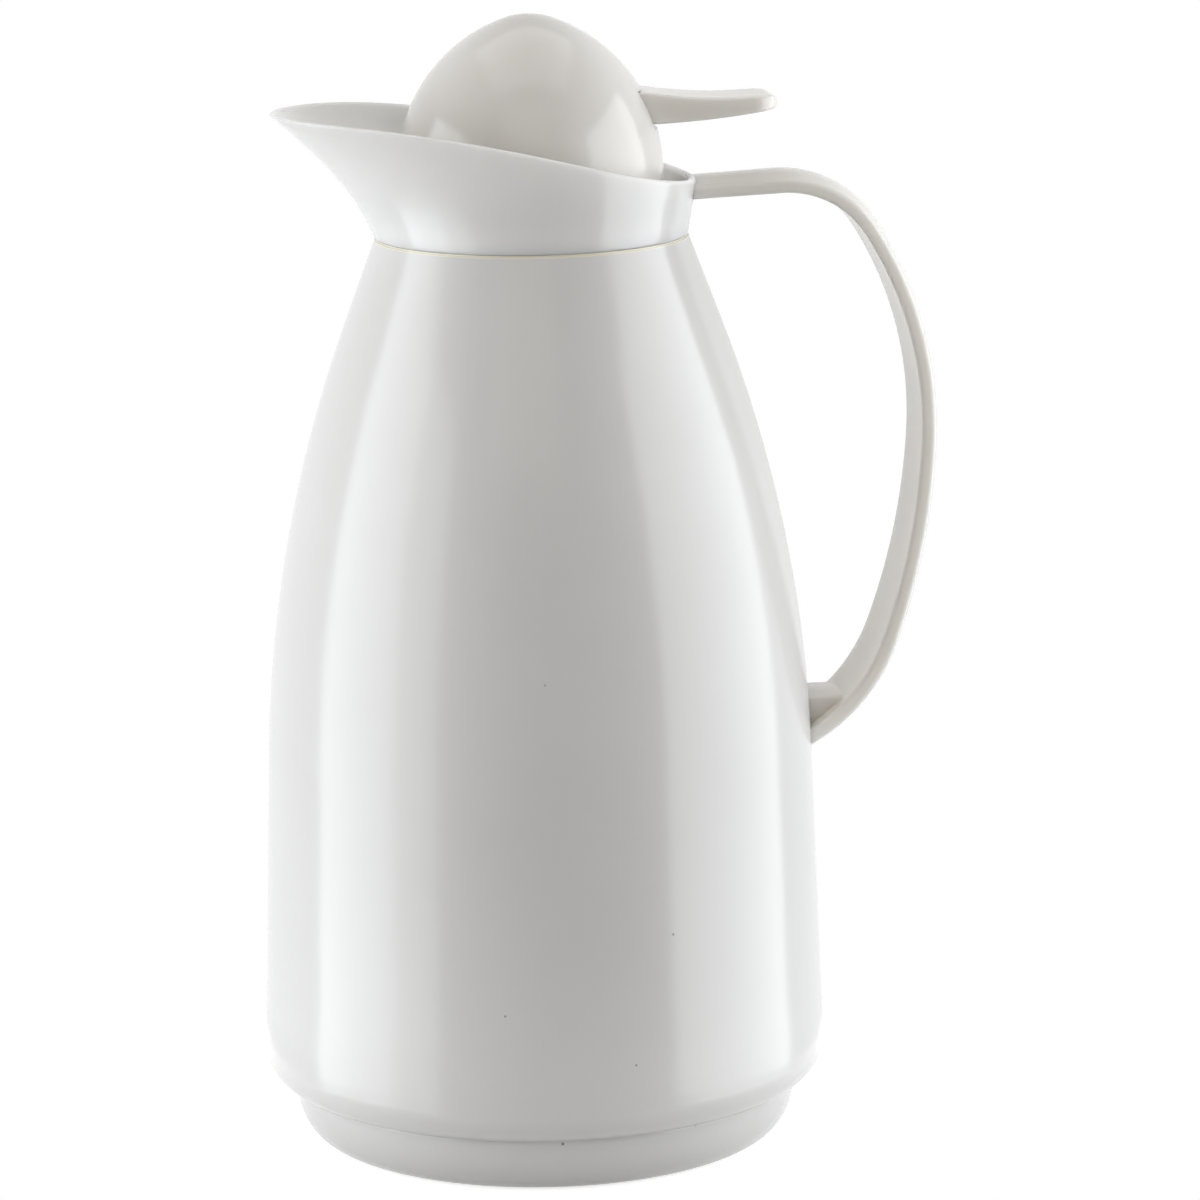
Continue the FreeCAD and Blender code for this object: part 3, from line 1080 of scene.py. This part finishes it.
@dataclass
class ThumbLever(Piece):
    """The lever: a hub on trunnions, a dished blade and a rounded tip.

    The slopes are those of the top face: per whole run at the hub, and per millimetre further out. The
    side_power and fullness swell each section's oval to flat sides and faces between its rounded edges.
    """

    name = "lever_blade"
    node = "thumb_lever"
    body = Body.LEVER
    slot = Slot.IVORY
    form: LeverForm
    stations: int = 72
    ring_points: int = 64
    end_margin: float = 0.012
    hub_slopes: Flat = (0.45, -0.1)
    root_slope: float = -0.16
    dish_slope: float = -0.02
    crest_slope: float = 0.02
    least_half: float = 0.02
    round_share: float = 0.98
    side_power: float = 0.35
    fullness: Flat = (1.9, 2.2)
    sharp_angle: float = 50.0

    def shape(self) -> Object:
        """The blade with its hub, fused with the pins.

        Returns:
            The new object.
        """
        form = self.form
        low, high = -form.hub_radius, form.tip[0]
        rings = []
        for index in range(self.stations + 1):
            turn = self.end_margin + (1 - 2 * self.end_margin) * index / self.stations
            rings.append(self._ring(low + (high - low) * (0.5 - 0.5 * cos(pi * turn))))
        piece = tidy_surface(place_mesh(self.name, *skin_rings(rings)), self.sharp_angle)
        pin = rod("trunnion", form.pivot, form.width / 2 + form.trunnion_length, form.trunnion_radius)
        combine(piece, pin, "UNION")
        return tidy_surface(piece, self.sharp_angle)

    def _ring(self, x: float) -> list[Vector]:
        """The blade's section, drawn in round the tip's corners.

        Args:
            x: distance from the pivot.

        Returns:
            A ring of points.
        """
        form = self.form
        high, low = self._top(x), self._bottom(x)
        middle, tall = (high + low) / 2, max(self.least_half, (high - low) / 2)
        into = max(0.0, x - (form.tip[0] - form.corner_radius))
        wide = form.width / 2 - (form.corner_radius - arch(form.corner_radius, into))
        soft = min(form.edge_round, tall * self.round_share)
        full_y, full_z = self.fullness
        ring = []
        for index in range(self.ring_points):
            angle = tau * (index + 0.5) / self.ring_points
            cy, cz = cos(angle), sin(angle)
            spread = abs(cy) ** self.side_power * copysign(1, cy)
            y = (wide - soft) * clamp(full_y * spread) + soft * cy
            z = (tall - soft) * clamp(full_z * cz) + soft * cz
            ring.append(Vector((form.pivot[0] + x, y, form.pivot[1] + middle + z)))
        return ring

    def _top(self, x: float) -> float:
        """Height of the top face over the pivot.

        Args:
            x: distance from the pivot.

        Returns:
            The height.
        """
        form = self.form
        if x < 0:
            return arch(form.hub_radius, x)
        if x < form.root[0]:
            return hermite(x / form.root[0], form.hub_radius, form.root[1], *self.hub_slopes)
        for start, end, first, last in ((form.root, form.dish, self.root_slope, self.dish_slope),
                                        (form.dish, form.crest, self.dish_slope, self.crest_slope)):
            if x < end[0]:
                run = end[0] - start[0]
                return hermite((x - start[0]) / run, start[1], end[1], first * run, last * run)
        return self._nose(form.crest, x)

    def _bottom(self, x: float) -> float:
        """Height of the underside over the pivot.

        Args:
            x: distance from the pivot.

        Returns:
            The height, below zero near the hub.
        """
        form = self.form
        if x < 0:
            return -arch(form.hub_radius, x)
        if x < form.belly[0]:
            share = x / form.belly[0]
            return -form.hub_radius + (form.hub_radius + form.belly[1]) * share * share
        return self._nose(form.belly, x)

    def _nose(self, start: Flat, x: float) -> float:
        """Height of the oval curve from a point to the tip.

        Args:
            start: where the curve starts.
            x: distance from the pivot.

        Returns:
            The height over the pivot.
        """
        tip = self.form.tip
        share = (x - start[0]) / (tip[0] - start[0])
        return tip[1] + (start[1] - tip[1]) * arch(1.0, share)


def clamp(value: float) -> float:
    """A value kept between -1 and 1."""
    return max(-1.0, min(1.0, value))


# ---- The studio: floor, backdrop light, lamps and camera ----

WHITE = (1.0, 1.0, 1.0)
COOL = (0.94, 0.97, 1.0)
WARM = (1.0, 0.92, 0.82)


@dataclass
class SoftBox:
    """One large soft lamp that faces a point of the carafe."""

    name: str
    place: Triple
    target: Triple
    size: Flat
    power: float
    colour: Triple = WHITE

    def build(self) -> None:
        """Add the lamp to the scene."""
        data = bpy.data.lights.new(self.name, "AREA")
        data.shape = "RECTANGLE"
        data.size, data.size_y = self.size
        data.energy = self.power
        data.color = self.colour
        aim = (Vector(self.target) - Vector(self.place)).to_track_quat("-Z", "Y").to_matrix().to_4x4()
        place_object(self.name, data).matrix_world = Matrix.Translation(self.place) @ aim


@dataclass
class Studio:
    """The plain pale floor, the white surroundings, the soft lamps and the camera.

    The floor's size and gap are in millimetres and all other places in metres.
    """

    floor_radius: float = 130.0
    floor_gap: float = 0.05
    floor_sides: int = 96
    floor_colour: Colour = (0.68, 0.68, 0.68, 1.0)
    floor_lift: Flat = (0.72, 1.0)
    lift_reach: Flat = (0.075, 0.125)
    ambient: float = 0.14
    ambient_colour: Colour = (1.0, 0.92, 0.83, 1.0)
    camera_place: Triple = (-0.1359, -1.2929, 0.4064)
    heading: float = 6.69
    pitch: float = 11.77
    roll: float = 0.852
    lens: float = 158.6
    sensor: float = 36.0
    clip: Flat = (0.05, 20.0)
    lamps: tuple[SoftBox, ...] = (
        SoftBox("left_softbox", (-0.85, -0.04, 0.10), (0.0, -0.04, 0.10), (0.64, 1.05), 7.1, COOL),
        SoftBox("left_front_softbox", (-0.85, -0.56, 0.10), (0.0, -0.56, 0.10), (0.38, 1.05), 2.4, COOL),
        SoftBox("right_softbox", (0.85, -0.25, 0.22), (0.0, -0.25, 0.22), (1.10, 1.05), 10.3, COOL),
        SoftBox("top_softbox", (0.0, 0.1, 1.3), (0.0, 0.0, 0.2), (1.2, 1.2), 4.8),
        SoftBox("front_fill", (-0.3, -1.5, 1.35), (0.0, 0.0, 0.2), (1.2, 1.2), 3.1, WARM),
    )

    def build(self) -> None:
        """Build everything round the object."""
        self._floor()
        self._world()
        for lamp in self.lamps:
            lamp.build()
        self._camera()

    @staticmethod
    def _seen_directly(net: NodeNet) -> NodeSocket:
        """1 for rays that show the surroundings: from the camera, in gloss and through glass.

        Args:
            net: the nodes to add to.

        Returns:
            The share's socket.
        """
        path = net.add("ShaderNodeLightPath").outputs
        seen = net.maths("ADD", path["Is Camera Ray"], path["Is Glossy Ray"], clamp=True)
        return net.maths("ADD", seen, path["Is Transmission Ray"], clamp=True)

    def _floor(self) -> None:
        """The floor under the carafe: pale, with the object's soft shadow."""
        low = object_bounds()[0].z / MM - self.floor_gap
        rim = [polar((0.0, 0.0), self.floor_radius, tau * index / self.floor_sides)
               for index in range(self.floor_sides)]
        floor = place_mesh("floor", [Vector((x, y, low)) for x, y in rim], [list(range(self.floor_sides))])
        made = bpy.data.materials.new("pale_floor")
        made.use_nodes = True
        net = NodeNet(made.node_tree)
        nodes = made.node_tree.nodes
        nodes.remove(nodes["Principled BSDF"])
        place = net.add("ShaderNodeTexCoord").outputs["Object"]
        away = net.add("ShaderNodeVectorMath", {0: place}, operation="LENGTH").outputs["Value"]
        near, far = self.floor_lift
        lift = net.maths("MULTIPLY_ADD", net.smooth_step(away, *self.lift_reach), far - near, near)
        matt = net.add("ShaderNodeBsdfDiffuse", {"Color": self.floor_colour})
        strength = net.maths("MULTIPLY", self._seen_directly(net), lift)
        glow = net.add("ShaderNodeEmission", {"Strength": strength})
        both = net.add("ShaderNodeAddShader", {0: matt.outputs[0], 1: glow.outputs[0]})
        net.fill(nodes["Material Output"], {"Surface": both.outputs[0]})
        dress(floor, made)
        floor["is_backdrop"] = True

    def _world(self) -> None:
        """White where it is seen, a plain grey light on the object."""
        world = bpy.data.worlds.new("studio")
        bpy.context.scene.world = world
        world.use_nodes = True
        net = NodeNet(world.node_tree)
        seen = self._seen_directly(net)
        net.fill(world.node_tree.nodes["Background"], {
            "Color": net.blend(seen, self.ambient_colour, (*WHITE, 1.0)),
            "Strength": net.maths("MULTIPLY_ADD", seen, 1.0 - self.ambient, self.ambient),
        })

    def _camera(self) -> None:
        """The camera: a long lens a little above the carafe."""
        data = bpy.data.cameras.new("camera")
        data.lens = self.lens
        data.sensor_width = self.sensor
        data.clip_start, data.clip_end = self.clip
        camera = place_object("camera", data)
        heading, pitch, roll = (radians(angle) for angle in (self.heading, self.pitch, self.roll))
        ahead = Vector((sin(heading) * cos(pitch), cos(heading) * cos(pitch), -sin(pitch)))
        level = ahead.cross(Vector((0, 0, 1))).normalized()
        above = level.cross(ahead)
        right = level * cos(roll) - above * sin(roll)
        up = level * sin(roll) + above * cos(roll)
        turn = Matrix((right, up, -ahead)).transposed().to_4x4()
        camera.matrix_world = Matrix.Translation(self.camera_place) @ turn
        bpy.context.scene.camera = camera


# ---- Putting it together ----

PEARL = dict(colour=(0.70, 0.695, 0.685, 1.0), cloud=(0.685, 0.68, 0.668, 1.0), roughness=0.15)
IVORY = dict(colour=(0.80, 0.78, 0.745, 1.0), cloud=(0.785, 0.762, 0.725, 1.0), roughness=0.14)

# The jacket's band at 227.95 mm is painted shade along the neck seam under the collar.
JACKET_FINISH = MouldedPlastic(
    "jacket_plastic", **PEARL, ripples=Ripples(16.0, 34.0, 4.0, 0.010), seam_shade=(227.95, 0.4),
    specks=((-5.5, -65.6, 128.6, 0.45), (24.8, -65.0, 65.3, 0.42), (-16.8, -68.0, 47.6, 0.40),
            (14.8, -69.0, 34.0, 0.38)))
BASE_FINISH = MouldedPlastic(
    "base_plastic", **PEARL, specks=((-2.8, -63.3, 13.2, 0.55), (31.0, -55.2, 13.8, 0.5)))
# Painted light: the collar is the jacket's pearl plastic painted lighter, standing in for light on the
# collar and inside its spout.
COLLAR_FINISH = MouldedPlastic(
    "collar_plastic", colour=(0.83, 0.82, 0.805, 1.0), cloud=(0.815, 0.805, 0.788, 1.0), roughness=0.15,
    depth_weight=0.8, depth_reach=8.0)
# Painted shade: the lid is the handle's ivory plastic painted darker, standing in for the shade on the
# dome's middle.
LID_FINISH = MouldedPlastic(
    "lid_plastic", colour=(0.76, 0.742, 0.71, 1.0), cloud=(0.745, 0.725, 0.69, 1.0), roughness=0.14,
    wave=Grain(22.0, 1.0, 0.4), depth_weight=0.6)
HANDLE_FINISH = MouldedPlastic("handle_plastic", **IVORY, wave_depth=0.04, depth_weight=0.8)
LEVER_FINISH = MouldedPlastic("lever_plastic", **IVORY, wave_depth=0.03, depth_weight=0.8)


def save_sizes(name: str, boxes: dict[str, object]) -> dict[str, object]:
    """Note the object's box under a name.

    Args:
        name: the box's name.
        boxes: the notes so far.

    Returns:
        The notes with the new box.
    """
    low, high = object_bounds()
    boxes[name] = [list(low), list(high)]
    return boxes


def main() -> None:
    """Build every piece in order, then the studio."""
    logging.basicConfig(level=logging.INFO, format="%(name)s: %(message)s")
    sizes = save_sizes("cad", {})
    bpy.context.scene.view_settings.view_transform = "Standard"
    lathe, form = Lathe(), LeverForm()
    BaseCap(BASE_FINISH.material(), lathe).build()
    Jacket(JACKET_FINISH.material(), lathe).build()
    Collar(COLLAR_FINISH.material()).build()
    Lid(LID_FINISH.material(), lathe, form).build()
    Handle(HANDLE_FINISH.material()).build()
    ThumbLever(LEVER_FINISH.material(), form).build()
    Studio().build()
    save_sizes("visual", sizes)


if __name__ == "__main__":
    main()
